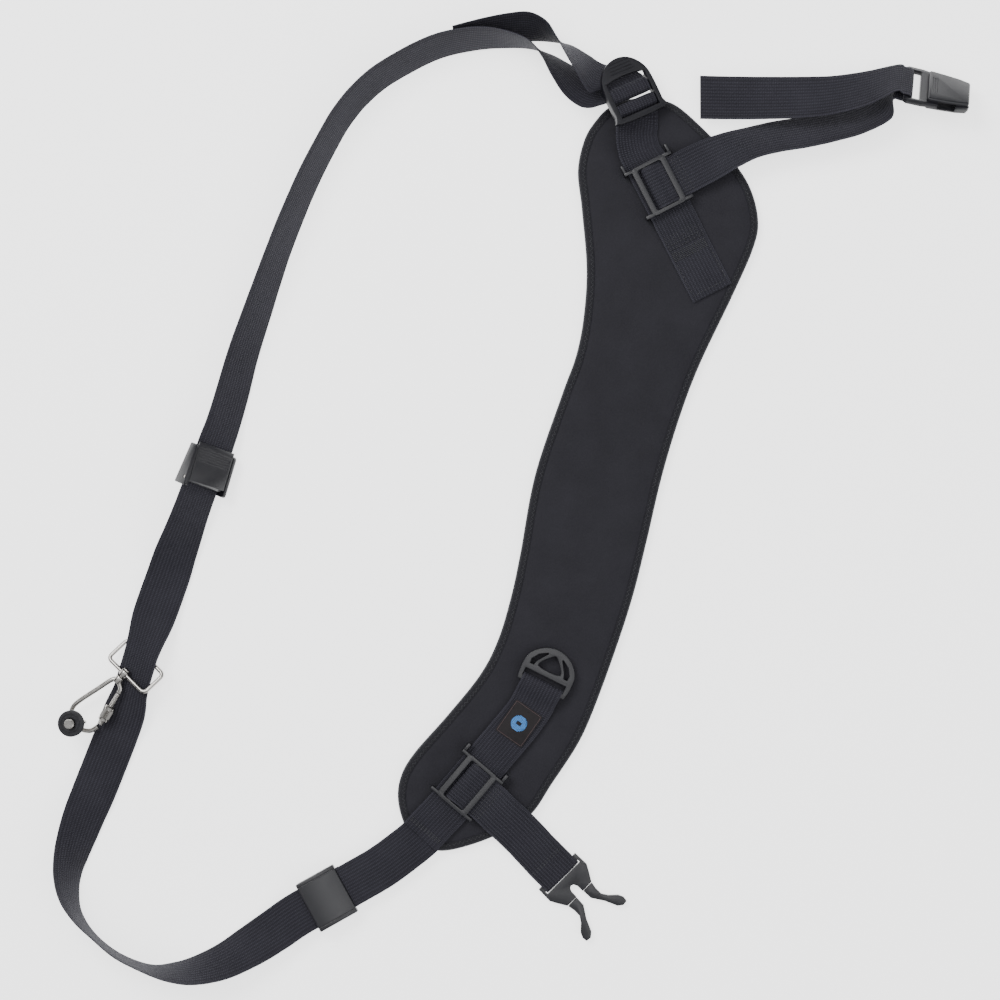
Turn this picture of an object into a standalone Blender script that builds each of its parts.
"""Camera sling strap: shoulder pad, webbing loop, cam locks, swivel carabiner with camera screw,
and an underarm strap with a side-release buckle.

Lengths in this file are millimetres and are scaled to metres when a mesh is made. The strap lies flat
on the XY plane, +Y along its length, +Z up.
"""
import math

import bmesh
import bpy
from mathutils import Matrix, Vector

MM = 0.001
GAP = 0.3
LAYOUT_SHIFT = Vector((-0.987, -0.652, 0.0))

WEB_WIDTH = 29.0
WEB_THICK = 1.2
PAD_TOP = 6.4
PAD_TILT_STEPS = 4
LINING_THICK = 0.8
COVER_THICK = 0.8
BINDING_WIDTH = 1.9
PAD_INSET = 2.3

WIRE_LOOP = 1.4
WIRE_CARABINER = 1.6
STUD_RADIUS = 3.175

PAD_OUTLINE = [
    (56.7, 254.3), (48.5, 241), (44, 220), (46.5, 195), (49.8, 155), (47.8, 122), (42.7, 96), (33.3, 70),
    (15.3, 16.3), (5.3, -37), (-1, -66), (-9.5, -94), (-21.3, -117), (-42.7, -143.7), (-66, -170.3),
    (-75, -187), (-76, -204), (-69.5, -223), (-60, -231.5), (-46, -235.2), (-24.7, -230.3), (-4, -221.5),
    (13.3, -210.3), (27, -190), (44, -164), (55, -140), (70, -99), (81.3, -63.7), (90.5, -27), (100.7, 16.3),
    (113, 57), (126, 91), (147.5, 136), (161.5, 168), (164.8, 187), (159, 209.5), (145.3, 229.7),
    (126, 250), (109.9, 263.7), (97, 267.6), (80, 268), (66, 263),
]

MAIN_ROUTE = [
    (-50.5, -213.0, 7.3, 0), (-61.3, -225.5, 7.3, 0), (-84.7, -243.5, 7.6, 2), (-101.0, -253.2, 7.9, 4),
    (-112.2, -259.5, 8.2, 4), (-123.3, -265.7, 8.2, 4), (-134.4, -271.9, 8.2, 4), (-145.5, -278.5, 8.0, 8),
    (-159.0, -288.0, 7.0, 15), (-175.0, -298.2, 7.6, 27), (-193.3, -307.8, 11.0, 44), (-211.3, -313.0, 13.6, 60),
    (-226.0, -313.9, 15.0, 75), (-242.0, -311.7, 15.4, 90), (-262.0, -303.0, 15.4, 95), (-278.0, -290.0, 15.4, 96),
    (-288.7, -277.0, 15.2, 88), (-294.0, -263.7, 14.9, 74), (-295.3, -250.3, 13.6, 61), (-293.3, -237.0, 11.6, 47),
    (-289.7, -223.7, 9.4, 35), (-285.3, -210.3, 7.0, 24), (-280.0, -197.0, 5.6, 15), (-273.5, -180.0, 3.4, 8),
    (-264.6, -157.0, 2.6, 0), (-258.7, -141.0, 4.6, -10), (-254.6, -128.2, 8.0, -18, 25.6), (-252.2, -120.0, 9.2, -20, 25.2),
    (-249.7, -111.6, 9.4, -20, 25.2), (-247.2, -103.2, 9.4, -20, 25.2), (-244.2, -93.8, 8.4, -14, 26.2), (-239.3, -78.0, 4.4, -2),
    (-229.9, -51.5, 4.2, 11), (-224.5, -36.5, 8.2, 24), (-219.2, -23.5, 11.6, 34), (-213.5, -9.0, 15.2, 41),
    (-209.2, 2.5, 16.4, 43), (-206.0, 11.0, 16.5, 43), (-202.7, 19.7, 16.5, 43), (-199.4, 28.4, 16.5, 43),
    (-196.0, 38.0, 16.4, 43), (-191.3, 52.0, 14.6, 46), (-186.0, 71.0, 11.8, 48), (-179.0, 96.3, 12.4, 52),
    (-170.0, 123.0, 13.0, 56), (-156.5, 162.0, 13.8, 62), (-145.7, 189.7, 13.9, 63.5), (-134.0, 216.3, 14.1, 65),
    (-120.0, 243.0, 14.2, 66), (-111.7, 256.3, 14.2, 66), (-101.0, 269.2, 14.2, 66), (-86.0, 282.0, 14.2, 66),
    (-62.0, 295.7, 14.2, 66), (-43.0, 303.0, 14.4, 67), (-21.3, 306.4, 14.7, 70), (-4.0, 305.5, 15.2, 78),
    (11.3, 302.0, 15.6, 90), (22.7, 294.7, 15.4, 108), (31.3, 286.3, 14.8, 124), (41.0, 276.8, 13.8, 140),
    (51.0, 270.8, 12.9, (-0.52, -0.68, 0.52)), (61.0, 268.2, 12.2, (-0.68, -0.60, 0.42)),
    (70.5, 268.6, 12.2, (-0.80, -0.48, 0.36)),
]
TAIL_ROUTE = [
    (66.5, 279.0, 15.6, (-0.72, -0.58, 0.38)), (55.7, 279.8, 16.4, (-0.38, -0.72, 0.58)),
    (46.5, 289.5, 16.6, (-0.30, -0.52, 0.80)), (37.5, 298.8, 16.6, (-0.18, -0.33, 0.93)),
    (29.0, 305.6, 16.4, 88), (20.5, 311.0, 16.2, 108),
    (10.5, 313.9, 15.4, 120), (-2.0, 313.4, 14.8, 119), (-14.0, 311.9, 14.3, 116), (-26.0, 309.4, 14.2, 114),
    (-38.0, 306.2, 14.2, 114),
]

LOCK_ORIGIN = (79.9, 266.3, 16.2)
LOCK_HEADING = 116.0
LOCK_ROLL = 20.0
UPPER_SLIDER = (97.4, 208.8)
UPPER_AXIS = 27.1
LOWER_SLIDER = (-29.9, -189.9)
LOWER_AXIS = -40.3
RING_BAR = (19.5, -124.3, PAD_TOP + 3.9)
RING_HEADING = 63.6
UPPER_CAM = (-202.7, 19.7, 16.5)
UPPER_CAM_HEADING = 69.3
UPPER_CAM_TILT = 43.0
LOWER_CAM = (-123.3, -265.7, 8.2)
LOWER_CAM_HEADING = 209.2
LOWER_CAM_TILT = 4.0
STRAP_AT_LOOP = (-249.7, -111.6, 9.4)
STRAP_AT_LOOP_HEADING = 73.4
STRAP_AT_LOOP_TILT = -20.0
EYE_CENTRE = (-290.9, -148.5, 7.5)
SCREW_LEAN = 8.0
FRONT_BUCKLE = (262.5, 275.5, 15.2)
FRONT_BUCKLE_HEADING = -13.0
FRONT_BUCKLE_TILT = -42.0
REAR_BUCKLE = (34.8, -253.4, 2.6)
REAR_BUCKLE_HEADING = -45.0

SLIDER_WINDOW = (8.6, 15.0)
SLIDER_RING = (12.2, 17.3)

PARTS = None
CUTTERS = None


# ---------------------------------------------------------------- scene, materials, basic makers

def clear_scene():
    for thing in list(bpy.data.objects):
        bpy.data.objects.remove(thing, do_unlink=True)


def collection(name):
    made = bpy.data.collections.new(name)
    bpy.context.scene.collection.children.link(made)
    return made


def material(name, colour, roughness, metallic=0.0):
    made = bpy.data.materials.new(name)
    made.use_nodes = True
    shader = made.node_tree.nodes["Principled BSDF"]
    shader.inputs["Base Color"].default_value = (*colour, 1.0)
    shader.inputs["Roughness"].default_value = roughness
    shader.inputs["Metallic"].default_value = metallic
    made.diffuse_color = (*colour, 1.0)
    return made


FINISHES = {
    "neoprene": ((0.020, 0.020, 0.024), 0.75, 0.0),
    "webbing": ((0.028, 0.028, 0.033), 0.85, 0.0),
    "plastic": ((0.030, 0.030, 0.035), 0.42, 0.0),
    "metal": ((0.72, 0.71, 0.70), 0.22, 1.0),
    "rubber": ((0.035, 0.035, 0.038), 0.70, 0.0),
    "label": ((0.020, 0.100, 0.420), 0.60, 0.0),
}


def place(origin, x_axis, z_axis):
    """The matrix of a local frame whose origin is in millimetres of the layout."""
    x_axis = Vector(x_axis).normalized()
    z_axis = Vector(z_axis)
    z_axis = (z_axis - z_axis.dot(x_axis) * x_axis).normalized()
    turn = Matrix((x_axis, z_axis.cross(x_axis), z_axis)).transposed().to_4x4()
    return Matrix.Translation((Vector(origin) + LAYOUT_SHIFT) * MM) @ turn


def rolled(origin, heading, roll, flip=False):
    """A frame that travels along heading, its left side raised by roll; flip turns its face down."""
    across, up = strap_axes(heading, roll)
    along = across.cross(up)
    if flip:
        return place(origin, along, -up)
    return place(origin, along, up)


def strap_axes(heading, roll):
    """The left-pointing width direction and the face direction of a strap that travels along heading."""
    angle = math.radians(heading)
    lean = math.radians(roll)
    left = Vector((-math.sin(angle), math.cos(angle), 0.0))
    along = Vector((math.cos(angle), math.sin(angle), 0.0))
    across = left * math.cos(lean) + Vector((0, 0, math.sin(lean)))
    return across, along.cross(across)


def link(name, mesh, frame, group):
    made = bpy.data.objects.new(name, mesh)
    group.objects.link(made)
    made.matrix_world = frame
    return made


def finish(piece, finish_name):
    colour, roughness, metallic = FINISHES[finish_name]
    piece.data.materials.clear()
    piece.data.materials.append(material(piece.name + "_finish", colour, roughness, metallic))
    piece.data.shade_smooth()
    piece.data.set_sharp_from_angle(angle=math.radians(32))
    return piece


def scaled(mesh):
    mesh.transform(Matrix.Scale(MM, 4))
    mesh.update()
    return mesh


def from_curve(name, curve, frame, group):
    """A curve's welded mesh as an object; the curve is removed."""
    helper = bpy.data.objects.new(name + "_curve", curve)
    bpy.context.scene.collection.objects.link(helper)
    bpy.context.view_layer.update()
    evaluated = helper.evaluated_get(bpy.context.evaluated_depsgraph_get())
    mesh = bpy.data.meshes.new_from_object(evaluated)
    bpy.data.objects.remove(helper, do_unlink=True)
    body = bmesh.new()
    body.from_mesh(mesh)
    bmesh.ops.remove_doubles(body, verts=body.verts, dist=0.002)
    bmesh.ops.recalc_face_normals(body, faces=body.faces)
    body.to_mesh(mesh)
    body.free()
    return link(name, scaled(mesh), frame, group)


def slab(name, outlines, low, high, frame, group=None):
    """A flat piece: closed outlines, the first one solid and the rest holes, from low to high."""
    curve = bpy.data.curves.new(name, "CURVE")
    curve.dimensions = "2D"
    curve.fill_mode = "BOTH"
    curve.extrude = (high - low) / 2
    for outline in outlines:
        spline = curve.splines.new("POLY")
        spline.points.add(len(outline) - 1)
        for point, corner in zip(spline.points, outline):
            point.co = (corner[0], corner[1], 0.0, 1.0)
        spline.use_cyclic_u = True
    lift = Matrix.Translation((0, 0, (high + low) / 2 * MM))
    return from_curve(name, curve, frame @ lift, group or PARTS)


def tube(name, points, radius, frame, group=None, closed=False, sides=2):
    """A round wire along local points."""
    curve = bpy.data.curves.new(name, "CURVE")
    curve.dimensions = "3D"
    curve.bevel_depth = radius
    curve.bevel_resolution = sides
    curve.use_fill_caps = True
    spline = curve.splines.new("POLY")
    spline.points.add(len(points) - 1)
    for point, place_at in zip(spline.points, points):
        point.co = (*place_at, 1.0)
    spline.use_cyclic_u = closed
    return from_curve(name, curve, frame, group or PARTS)


def box(name, low, high, frame, group=None):
    body = bmesh.new()
    size = Vector(high) - Vector(low)
    middle = (Vector(high) + Vector(low)) / 2
    bmesh.ops.create_cube(body, size=1.0, matrix=Matrix.Translation(middle) @ Matrix.Diagonal((*size, 1.0)))
    mesh = bpy.data.meshes.new(name)
    body.to_mesh(mesh)
    body.free()
    return link(name, scaled(mesh), frame, group or PARTS)


def rod(name, start, end, radius, frame, group=None, sides=20):
    start = Vector(start)
    end = Vector(end)
    aim = (end - start).to_track_quat("Z", "Y").to_matrix().to_4x4()
    body = bmesh.new()
    bmesh.ops.create_cone(body, cap_ends=True, segments=sides, radius1=radius, radius2=radius,
                          depth=(end - start).length, matrix=Matrix.Translation((start + end) / 2) @ aim)
    mesh = bpy.data.meshes.new(name)
    body.to_mesh(mesh)
    body.free()
    return link(name, scaled(mesh), frame, group or PARTS)


def change(piece, tool, operation):
    """Cut the piece with the tool, or join the tool to it; the tool stays as a hidden guide."""
    for holder in list(tool.users_collection):
        holder.objects.unlink(tool)
    CUTTERS.objects.link(tool)
    tool.hide_render = True
    tool.display_type = "WIRE"
    step = piece.modifiers.new(tool.name, "BOOLEAN")
    step.operation = operation
    step.solver = "EXACT"
    step.object = tool
    return piece


def cut(piece, *tools):
    for tool in tools:
        change(piece, tool, "DIFFERENCE")
    return piece


def join(piece, *tools):
    for tool in tools:
        change(piece, tool, "UNION")
    return piece


def blend_curve(values, steps, closed=False):
    """Catmull-Rom interpolation through vectors, steps to a span."""
    count = len(values)
    made = []
    spans = count if closed else count - 1
    for i in range(spans):
        if closed:
            a, b, c, d = (values[(i + k) % count] for k in (-1, 0, 1, 2))
        else:
            b, c = values[i], values[i + 1]
            a = values[i - 1] if i else b - (c - b)
            d = values[i + 2] if i + 2 < count else c + (c - b)
        for k in range(steps):
            t = k / steps
            made.append(0.5 * ((2 * b) + (c - a) * t + (2 * a - 5 * b + 4 * c - d) * t * t
                               + (3 * b - a - 3 * c + d) * t * t * t))
    if not closed:
        made.append(values[-1].copy())
    return made


def rounded_outline(corners, steps=5):
    return [(p.x, p.y) for p in blend_curve([Vector((x, y, 0)) for x, y in corners], steps, closed=True)]


def inset(outline, depth):
    """The outline moved inwards; it runs anticlockwise."""
    made = []
    count = len(outline)
    for i in range(count):
        ahead = Vector(outline[(i + 1) % count]) - Vector(outline[i - 1])
        normal = Vector((-ahead.y, ahead.x)).normalized()
        made.append(tuple(Vector(outline[i]) + normal * depth))
    return made


def round_rect(half_x, half_y, radius, centre=(0.0, 0.0), steps=4):
    made = []
    for quarter, (sx, sy) in enumerate(((1, 1), (-1, 1), (-1, -1), (1, -1))):
        for k in range(steps + 1):
            angle = math.radians(90 * quarter + 90 * k / steps)
            made.append((centre[0] + sx * (half_x - radius) + radius * math.cos(angle),
                         centre[1] + sy * (half_y - radius) + radius * math.sin(angle)))
    return made


def stations(route):
    """Route rows (x, y, z, tilt or width direction[, width]) as centre points with half-width vectors."""
    points = [Vector(row[:3]) for row in route]
    widths = []
    for i, row in enumerate(route):
        if isinstance(row[3], (int, float)):
            ahead = points[min(i + 1, len(points) - 1)] - points[max(i - 1, 0)]
            heading = math.degrees(math.atan2(ahead.y, ahead.x))
            across = strap_axes(heading, row[3])[0]
        else:
            across = Vector(row[3]).normalized()
        widths.append(across * (row[4] if len(row) > 4 else WEB_WIDTH) / 2)
    return points, widths


def ribbon(name, route, thick=WEB_THICK, steps=3):
    """A strap of webbing along a route, as a strip with Solidify."""
    points, widths = stations(route)
    points = blend_curve(points, steps)
    widths = blend_curve(widths, steps)
    body = bmesh.new()
    rows = []
    for point, reach in zip(points, widths):
        rows.append([body.verts.new(point - reach), body.verts.new(point + reach)])
    for (a, b), (c, d) in zip(rows, rows[1:]):
        body.faces.new((a, c, d, b))
    mesh = bpy.data.meshes.new(name)
    body.to_mesh(mesh)
    body.free()
    piece = link(name, scaled(mesh), Matrix.Translation(LAYOUT_SHIFT * MM), PARTS)
    wall = piece.modifiers.new("thickness", "SOLIDIFY")
    wall.thickness = thick * MM
    wall.offset = 0.0
    wall.use_quality_normals = True
    return finish(piece, "webbing")


def local_rows(frame, rows, width_local):
    """Rows given in a local frame as route rows of the layout."""
    made = []
    across = frame.to_3x3() @ Vector(width_local)
    for row in rows:
        at = frame @ (Vector(row) * MM) / MM - LAYOUT_SHIFT
        made.append((at.x, at.y, at.z, tuple(across)))
    return made


# ---------------------------------------------------------------- shoulder pad

def shoulder_pad():
    outline = rounded_outline(PAD_OUTLINE, PAD_TILT_STEPS)
    inner = inset(outline, PAD_INSET)
    flat = Matrix.Translation(LAYOUT_SHIFT * MM)
    top = PAD_TOP
    finish(slab("pad_mesh_lining", [inner], 0.0, LINING_THICK, flat), "neoprene")
    finish(slab("pad_foam_core", [inner], LINING_THICK + GAP, top - COVER_THICK - GAP, flat), "neoprene")
    finish(slab("pad_cover", [inner], top - COVER_THICK, top, flat), "neoprene")
    finish(slab("pad_edge_binding", [outline, inset(outline, BINDING_WIDTH)], 0.0, top, flat), "neoprene")


# ---------------------------------------------------------------- ladder lock and the long strap

def ladder_lock_frame():
    """x across the bars, y towards the thumb tab, z up; the left side is raised."""
    across, up = strap_axes(LOCK_HEADING, LOCK_ROLL)
    return place(LOCK_ORIGIN, -across, up)


def ladder_lock():
    frame = ladder_lock_frame()
    outer = [(-18.4, -8), (-17.6, -13.5), (17.6, -13.5), (18.4, -8), (18.6, 6), (17.6, 15), (13.5, 22),
             (7.5, 26.6), (0, 28.2), (-7.5, 26.6), (-13.5, 22), (-17.6, 15), (-18.6, 6)]
    opening = [(15.2, -10.4), (15.2, 14.3), (8, 15.4), (0, 15.9), (-8, 15.4), (-15.2, 14.3), (-15.2, -10.4)]
    body = slab("ladder_lock_buckle", [outer, opening], 0.2, 3.6, frame)
    for side in (-1, 1):
        join(body, box("lock_rail", (side * 15.2 if side > 0 else -18.0, -12.6, -2.8),
                       (18.0 if side > 0 else -15.2, 12.0, 2.0), frame))
    join(body, box("lock_fixed_bar", (-16.5, -7.2, -1.1), (16.5, -2.8, 1.1), frame))
    join(body, box("lock_adjust_bar", (-16.5, 2.6, -1.0), (16.5, 7.8, 1.2), frame))
    finish(body, "plastic")


def main_strap():
    """Sewn end, long run, through the ladder lock and back as the free tail."""
    frame = ladder_lock_frame()
    wrap = [(-0.6, 3.8, -3.4), (0, 1.4, -2.4), (0, 0.9, -0.8), (0, 1.1, 0.8), (0, 2.4, 2.1), (0, 5.2, 2.3),
            (0, 7.9, 2.0), (0, 9.4, 0.6), (0, 10.4, -0.9), (-0.2, 13.4, -1.9)]
    route = MAIN_ROUTE + local_rows(frame, wrap, (-1, 0, 0)) + TAIL_ROUTE
    ribbon("main_strap", route)


# ---------------------------------------------------------------- webbing sewn on the pad

def upper_pad_webbing():
    lock = ladder_lock_frame()
    loop = [(0, -6.8, -2.6), (0, -5.6, -2.4), (0, -4.2, -2.2), (0, -2.4, -2.0), (0, -1.6, -0.8), (0, -1.6, 0.8),
            (0, -2.5, 2.0), (0, -5.0, 2.2), (0, -7.6, 2.0), (0, -8.9, 0.7), (0, -10.0, -1.0), (0, -11.6, -1.9)]
    under = local_rows(lock, loop, (1, 0, 0))
    down = PAD_TOP + 0.9
    level = PAD_TOP + 2.8
    run = [(83.6, 250.8, 12.9, -20), (82.8, 242.5, 12.0, -17), (84.4, 233.3, 10.6, -11), (87.8, 226.4, 9.6, -4),
           (91.0, 221.3, level, 0), (97.4, 208.8, level, 0),
           (102.9, 198.1, level, 0), (107.9, 188.3, level - 0.2, 0), (113.0, 178.5, down + 0.6, 0),
           (119.0, 166.6, down, 0), (133.8, 137.7, down, 0)]
    ribbon("upper_pad_webbing", under + run)


def lower_pad_webbing():
    level = PAD_TOP + 2.8
    angle = math.radians(LOWER_AXIS + 90)
    along = Vector((math.cos(angle), math.sin(angle), 0))
    centre = Vector((*LOWER_SLIDER, 0))
    straight = [centre + along * s for s in (36, 24, 12, 0, -12, -22)]
    ring = place(RING_BAR, (math.cos(math.radians(RING_HEADING - 90)), math.sin(math.radians(RING_HEADING - 90)), 0),
                 (0, 0, 1))
    loop = [(0, -22.0, -3.0), (0, -14.0, -3.0), (0, -5.0, -3.0), (0, 0.0, -2.8), (0, 2.2, -2.2), (0, 3.1, -0.8),
            (0, 3.1, 0.8), (0, 2.2, 2.2), (0, 0, 2.8), (0, -2.8, 2.4), (0, -6.0, 1.2), (0, -10.0, -0.5),
            (0, -15.0, -1.4)]
    start = local_rows(ring, loop, (1, 0, 0))
    run = [(5.3, -148.3, PAD_TOP + 2.4, 0)]
    run += [(p.x, p.y, level, 0) for p in straight]
    run += [(-53.5, -216.5, PAD_TOP + 2.5, 0), (-61.3, -225.0, PAD_TOP + 2.4, 0)]
    ribbon("lower_pad_webbing", start + run)


def label_frame():
    angle = math.radians(-35.0)
    return place((4.6, -149.2, PAD_TOP + 3.9), (math.cos(angle), math.sin(angle), 0), (0, 0, 1))


def label_patch():
    finish(slab("label_patch", [round_rect(10.6, 12.6, 1.0)], -0.3, 0.3, label_frame()), "label")


# ---------------------------------------------------------------- D-ring

def d_ring():
    frame = place(RING_BAR, (math.cos(math.radians(RING_HEADING - 90)), math.sin(math.radians(RING_HEADING - 90)), 0),
                  (0, 0, 1))
    outer = [(16.8, -1.5), (17.6, 2), (18.0, 9), (17.0, 15.5), (12.6, 21.5), (6.5, 25.2), (0, 26.4), (-6.5, 25.2),
             (-12.6, 21.5), (-17.0, 15.5), (-18.0, 9), (-17.6, 2), (-16.8, -1.5)]
    slot = [(15.0, 1.5), (15.0, 7.0), (-15.0, 7.0), (-15.0, 1.5)]
    hole = [(12.4, 11.2), (12.2, 14.2), (8.4, 19.0), (3.2, 21.8), (-3.2, 21.8), (-8.4, 19.0), (-12.2, 14.2), (-12.4, 11.2)]
    body = slab("d_ring", [outer, slot, hole], -1.5, 1.5, frame)
    finish(body, "plastic")


# ---------------------------------------------------------------- cross sliders and underarm straps

def slider_frame(centre, axis):
    angle = math.radians(axis)
    return place((*centre, PAD_TOP), (math.cos(angle), math.sin(angle), 0), (0, 0, 1))


def cross_slider(name, centre, axis):
    """Window frame over the pad webbing, arms down its edges and two bars under it."""
    frame = slider_frame(centre, axis)
    ring = round_rect(*SLIDER_RING, 2.5)
    window = round_rect(*SLIDER_WINDOW, 1.6)
    body = slab(name, [ring, window], 6.7, 8.9, frame)
    join(body, box("slider_wrap_bar", (-4.4, -16.2, 5.2), (-1.6, 16.2, 6.9), frame))
    for side in (-1, 1):
        post = sorted((side * 15.1, side * 17.3))
        arm = sorted((side * 15.2, side * 17.2))
        stub = sorted((side * 11.0, side * 17.4))
        join(body, box("slider_corner", (stub[0], 14.9, 7.0), (stub[1], 17.25, 8.8), frame))
        join(body, box("slider_corner", (stub[0], -17.25, 7.0), (stub[1], -14.9, 8.8), frame))
        join(body, box("slider_post", (post[0], 15.1, 0.35), (post[1], 17.1, 8.0), frame))
        join(body, box("slider_post", (post[0], -17.1, 0.35), (post[1], -15.1, 8.0), frame))
        join(body, box("slider_arm", (arm[0], 16.0, 0.45), (arm[1], 19.6, 3.0), frame))
    join(body, box("slider_under_bar", (-16.5, 17.4, 0.5), (16.5, 19.4, 1.7), frame))
    join(body, box("slider_under_bar", (-16.5, -16.9, 0.5), (16.5, -15.3, 1.7), frame))
    finish(body, "plastic")


def slider_wrap(centre, axis, sewn_length):
    """Rows of an underarm strap from its sewn end, round the slider's bar and out again."""
    frame = slider_frame(centre, axis)
    rows = [(sewn_length, 0, 4.25), (14.0, 0, 4.25), (6.0, 0, 4.25), (-1.0, 0, 4.25), (-4.4, 0, 4.35), (-5.7, 0, 5.1),
            (-5.9, 0, 6.4), (-4.9, 0, 7.5), (-3.0, 0, 7.9), (0.5, 0, 7.6), (5.0, 0, 6.2), (9.5, 0, 5.8), (14.0, 0, 5.8),
            (20.0, 0, 5.8)]
    return local_rows(frame, rows, (0, 1, 0))


def front_underarm_strap():
    buckle = rolled(FRONT_BUCKLE, FRONT_BUCKLE_HEADING, FRONT_BUCKLE_TILT)
    wrap = [(-8.0, -1.5, -2.9), (-3.0, 0, -2.9), (0.4, 0, -2.9), (2.4, 0, -2.2), (3.2, 0, -0.8), (3.2, 0, 0.8),
            (2.4, 0, 2.2), (0.4, 0, 2.9), (-3.0, 0, 3.0), (-8.0, 0, 3.4)]
    out = [(131.5, 226.2, 11.9, -9), (145.5, 232.6, 12.4, -26), (160.0, 237.8, 10.8, -37), (176.0, 241.6, 10.4, -38),
           (194.0, 244.6, 10.2, -38), (212.0, 248.2, 10.4, -40), (229.5, 252.8, 11.0, -42), (244.0, 260.5, 11.8, -42)]
    back = [(235.0, 272.6, 18.6, 32), (214.7, 268.6, 16.6, 22), (196.0, 267.2, 15.4, 14), (170.7, 267.2, 12.0, 8),
            (146.0, 267.8, 8.6, 4), (125.5, 268.3, 7.9, 2)]
    route = slider_wrap(UPPER_SLIDER, UPPER_AXIS, 24.0) + out
    route += local_rows(buckle, wrap, (0, 1, 0))
    turned = []
    for x, y, z, tilt in back:
        turned.append((x, y, z, tuple(strap_axes(0, -tilt)[0])))
    ribbon("front_underarm_strap", route + turned)


def rear_underarm_strap():
    buckle = rolled(REAR_BUCKLE, REAR_BUCKLE_HEADING, 0)
    wrap = [(-16.0, 0, 2.6), (-8.0, 0, 2.1), (-4.2, 0, 1.8), (-2.2, 0, 1.6), (-1.25, 0, 0.8), (-1.25, 0, -0.8),
            (-2.2, 0, -1.6), (-4.2, 0, -1.75), (-9.0, 0, -1.7), (-17.0, 0, -1.6), (-27.0, 0, -1.5)]
    out = [(-7.0, -210.5, 11.6, 0), (0.5, -217.5, 9.8, 0), (8.0, -225.2, 7.2, 0), (15.5, -233.4, 5.8, 0)]
    route = slider_wrap(LOWER_SLIDER, LOWER_AXIS, 24.0) + out + local_rows(buckle, wrap, (0, 1, 0))
    ribbon("rear_underarm_strap", route)


def female_buckle():
    frame = rolled(FRONT_BUCKLE, FRONT_BUCKLE_HEADING, FRONT_BUCKLE_TILT)
    outer = [(-2.2, 16.5), (-2.2, -16.5), (0, -18.2), (10, -18.0), (14, -17.2), (24, -16.0), (34, -14.5), (41, -12.5),
             (42, -11), (42, 11), (41, 12.5), (34, 14.5), (24, 16.0), (14, 17.2), (10, 18.0), (0, 18.2)]
    slot = round_rect(3.4, 15.2, 0.8, (5.2, 0))
    body = slab("female_buckle", [outer, slot], -1.7, 1.7, frame)
    shell = slab("buckle_shell", [[(13.5, -15.5), (24, -14.6), (34, -13.4), (41.5, -11.4), (41.5, 11.4), (34, 13.4),
                                   (24, 14.6), (13.5, 15.5)]], -4.6, 4.6, frame)
    join(body, shell)
    cut(body, box("buckle_socket", (19.0, -10.4, -2.7), (44.0, 10.4, 2.7), frame))
    for side in (-1, 1):
        low, high = sorted((side * 8.0, side * 20.0))
        cut(body, box("buckle_window", (21.0, low, -2.7), (33.0, high, 2.7), frame))
    finish(body, "plastic")


def male_buckle():
    frame = rolled(REAR_BUCKLE, REAR_BUCKLE_HEADING, 0)
    body_outline = [(-6.6, -17.2), (4.0, -17.5), (9.0, -14.8), (14.6, -11.4), (14.8, -2.9), (10.0, -2.8), (7.4, -1.6),
                    (6.8, 0), (7.4, 1.6), (10.0, 2.8), (14.8, 2.9), (14.6, 11.4), (9.0, 14.8), (4.0, 17.5), (-6.6, 17.2)]
    slot = round_rect(0.9, 15.3, 0.4, (-1.2, 0))
    body = slab("male_buckle_body", [body_outline, slot], -1.7, 1.7, frame)
    cut(body, box("male_slot_relief", (-2.2, -15.3, -3.0), (-0.2, 15.3, 3.0), frame))
    cut(body, box("male_bar_relief", (-8.0, -15.3, 0.7), (-1.0, 15.3, 3.0), frame))
    cut(body, box("male_bar_relief", (-8.0, -15.3, -3.0), (-1.0, 15.3, -0.7), frame))
    finish(body, "plastic")
    prong = [(15.2, 3.1), (22.0, 3.4), (30.0, 8.6), (38.2, 12.2), (40.8, 15.4), (40.4, 19.0), (37.0, 19.4), (33.5, 17.8),
             (29.0, 13.0), (25.0, 10.4), (20.0, 10.3), (15.2, 11.2)]
    finish(slab("prong_left", [prong], -1.7, 1.7, frame), "plastic")
    finish(slab("prong_right", [[(x, -y) for x, y in reversed(prong)]], -1.7, 1.7, frame), "plastic")


# ---------------------------------------------------------------- cam locks

CAM_PIVOT = (8.6, 3.6)


def cam_frame(which):
    if which == "upper":
        across, up = strap_axes(UPPER_CAM_HEADING, UPPER_CAM_TILT)
        along = across.cross(up)
        return place(UPPER_CAM, -along, up)
    across, up = strap_axes(LOWER_CAM_HEADING, LOWER_CAM_TILT)
    return place(LOWER_CAM, across.cross(up), -up)


def side_profile(name, corners, low, high, frame, group=None):
    """A flat piece whose outline is in the local XZ plane, from low to high along Y."""
    turn = Matrix.Rotation(math.radians(90), 4, "X")
    return slab(name, [[(x, z) for x, z in corners]], -high, -low, frame @ turn, group)


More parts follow.
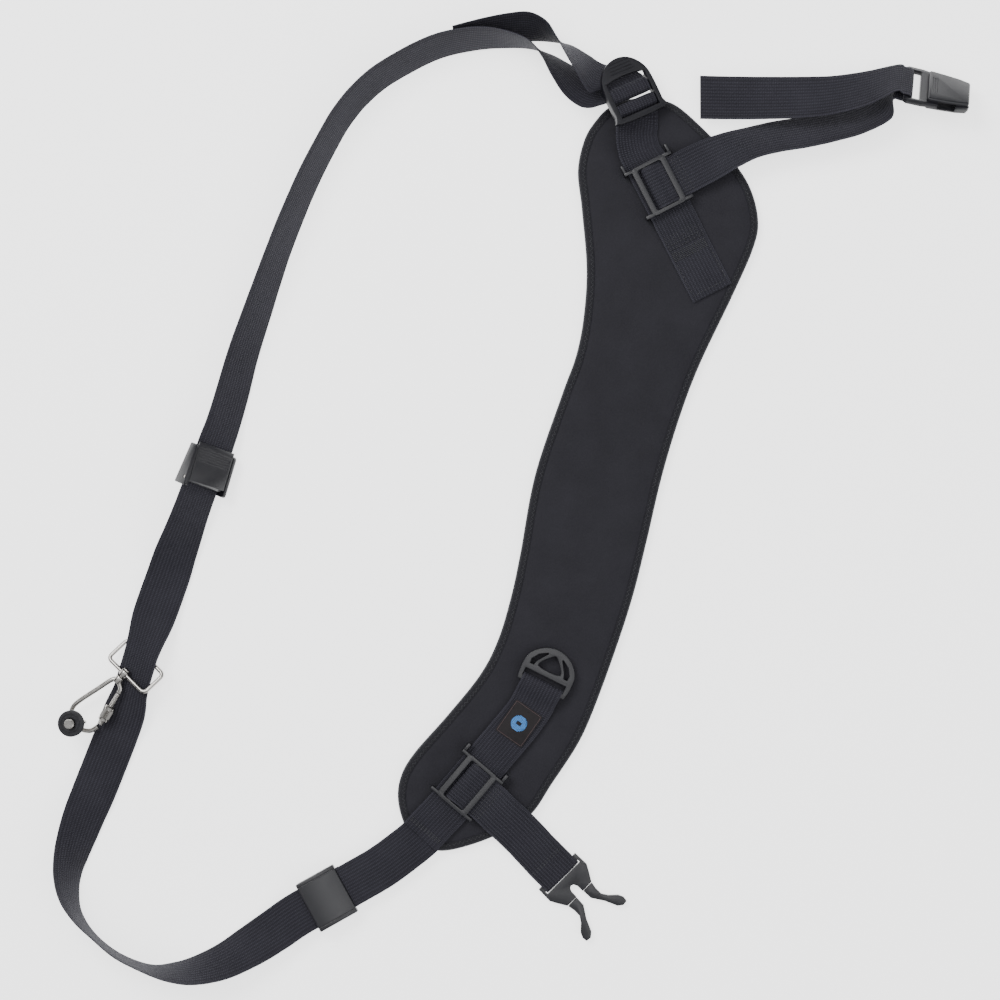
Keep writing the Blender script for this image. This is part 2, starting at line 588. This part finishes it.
def cam_lock(which):
    """Wedge-shaped housing with the strap through it, a ribbed lever with a cam, and the lever's pin."""
    frame = cam_frame(which)
    prefix = which + "_cam_"
    wall = [(-14, -3.0), (14, -5.4), (14.0, 5.8), (12.6, 6.9), (-12.8, 3.8), (-14, 2.6)]
    housing = side_profile(prefix + "housing", wall, -17.7, 17.7, frame)
    cut(housing, box(prefix + "tunnel", (-20, -15.1, -0.95), (20, 15.1, 12.0), frame))
    cut(housing, rod(prefix + "pin_bore", (CAM_PIVOT[0], -20, CAM_PIVOT[1]), (CAM_PIVOT[0], 20, CAM_PIVOT[1]), 1.4, frame))
    finish(housing, "plastic")
    arc = []
    for k in range(9):
        angle = math.radians(250 + 170 * k / 8)
        arc.append((CAM_PIVOT[0] + 2.6 * math.cos(angle), CAM_PIVOT[1] + 2.6 * math.sin(angle)))
    top = [(9.5, 6.4), (-12.6, 3.6), (-16.2, 3.2), (-16.2, 2.0), (-12.0, 1.4), (5.0, 1.4)]
    lever = side_profile(prefix + "lever", arc + top, -14.7, 14.7, frame)
    cut(lever, rod(prefix + "lever_bore", (CAM_PIVOT[0], -20, CAM_PIVOT[1]), (CAM_PIVOT[0], 20, CAM_PIVOT[1]), 1.4, frame))
    finish(lever, "plastic")
    pin = rod(prefix + "pin", (CAM_PIVOT[0], -17.5, CAM_PIVOT[1]), (CAM_PIVOT[0], 17.5, CAM_PIVOT[1]), 1.1, frame)
    finish(pin, "metal")


# ---------------------------------------------------------------- loop, swivel, carabiner, camera screw

def loop_frame():
    """Local x along the loop's long bars, y towards its back bar, z up; tilted so the back bar is lower."""
    across, up = strap_axes(STRAP_AT_LOOP_HEADING, STRAP_AT_LOOP_TILT)
    along = across.cross(up)
    skew = math.radians(24.0)
    long_axis = -(along * math.sin(skew) + across * math.cos(skew))
    short_axis = along * math.cos(skew) - across * math.sin(skew)
    dip = math.radians(21.0)
    normal = up * math.cos(dip) + short_axis * math.sin(dip)
    centre = Vector(STRAP_AT_LOOP) + up * 1.0 - long_axis * 0.8
    return place(centre, long_axis, normal)


def swivel_frame():
    """Origin on the loop's front bar, x outwards along the swivel axis, z up."""
    boss = loop_frame() @ (Vector((-1.9, -8.9, 0)) * MM) / MM - LAYOUT_SHIFT
    return place(boss, (-0.68, -0.73, -0.085), (0, 0, 1))


def strap_loop():
    frame = loop_frame()
    path = [(x, y, 0) for x, y in round_rect(18.0, 8.9, 3.0, steps=4)]
    body = tube("strap_loop", path, WIRE_LOOP, frame, closed=True)
    swivel = swivel_frame()
    join(body, rod("loop_boss", (-1.9, 0, 0), (1.9, 0, 0), 3.1, swivel))
    cut(body, rod("loop_boss_hole", (-6, 0, 0), (6, 0, 0), 1.5, swivel))
    finish(body, "metal")


def carabiner():
    frame = swivel_frame()
    finish(join(rod("swivel_stud", (-3.4, 0, 0), (-2.2, 0, 0), 2.5, frame),
                rod("stud_shank", (-2.8, 0, 0), (3.0, 0, 0), 1.2, frame)), "metal")
    path = [Vector(p) for p in ((5.2, -0.4, 0), (9.0, -3.4, 0), (20.0, -6.2, 0), (34.0, -9.6, 0), (40.5, -9.9, 0),
                                (46.0, -6.6, 0), (48.6, -0.5, 0), (47.0, 5.6, 0), (43.5, 9.6, 0), (38.5, 11.0, 0))]
    body = tube("carabiner_body", blend_curve(path, 3), WIRE_CARABINER, frame)
    join(body, rod("carabiner_collar", (2.4 + 0.8, 0, 0), (8.2, 0, 0), 2.9, frame))
    cut(body, rod("collar_bore", (1.0, 0, 0), (3.9, 0, 0), 1.5, frame))
    join(body, tube("carabiner_nose", [(6.0, 0.6, 0), (8.6, 4.4, 0), (9.8, 5.5, 0), (12.2, 6.2, 0)], 1.5, frame))
    finish(body, "metal")
    hinge = Vector((36.6, 11.2, 0))
    nose = Vector((12.8, 6.35, 0))
    aim = (nose - hinge).normalized()
    gate = rod("carabiner_gate", hinge + aim * 0.2, nose, 1.7, frame)
    finish(gate, "metal")
    sleeve = rod("gate_sleeve", hinge + aim * 3.4, hinge + aim * 14.2, 3.5, frame, sides=28)
    cut(sleeve, rod("sleeve_bore", hinge + aim * 2.0, hinge + aim * 16.0, 2.0, frame))
    finish(sleeve, "metal")


def camera_screw():
    lean = math.radians(SCREW_LEAN)
    frame = place(EYE_CENTRE, (math.cos(lean), 0, math.sin(lean)), (-math.sin(lean), 0, math.cos(lean)))
    eye = []
    for k in range(24):
        angle = 2 * math.pi * k / 24
        eye.append((5.7 * math.cos(angle), 0, 5.7 * math.sin(angle)))
    body = tube("camera_screw", eye, 1.2, frame, closed=True)
    join(body, rod("screw_flange", (0, 0, 6.3), (0, 0, 8.4), 7.6, frame, sides=32))
    join(body, rod("screw_stud", (0, 0, 8.0), (0, 0, 16.6), STUD_RADIUS, frame, sides=24))
    finish(body, "metal")
    washer = rod("rubber_washer", (0, 0, 8.7), (0, 0, 12.4), 8.8, frame, sides=40)
    cut(washer, rod("washer_bore", (0, 0, 7.0), (0, 0, 14.0), STUD_RADIUS + GAP, frame, sides=24))
    finish(washer, "rubber")


def build():
    global PARTS, CUTTERS
    clear_scene()
    PARTS = collection("camera_sling_strap")
    CUTTERS = collection("cutters")
    shoulder_pad()
    ladder_lock()
    main_strap()
    upper_pad_webbing()
    lower_pad_webbing()
    label_patch()
    d_ring()
    cross_slider("upper_cross_slider", UPPER_SLIDER, UPPER_AXIS)
    cross_slider("lower_cross_slider", LOWER_SLIDER, LOWER_AXIS)
    front_underarm_strap()
    rear_underarm_strap()
    female_buckle()
    male_buckle()
    cam_lock("upper")
    cam_lock("lower")
    strap_loop()
    carabiner()
    camera_screw()


build()
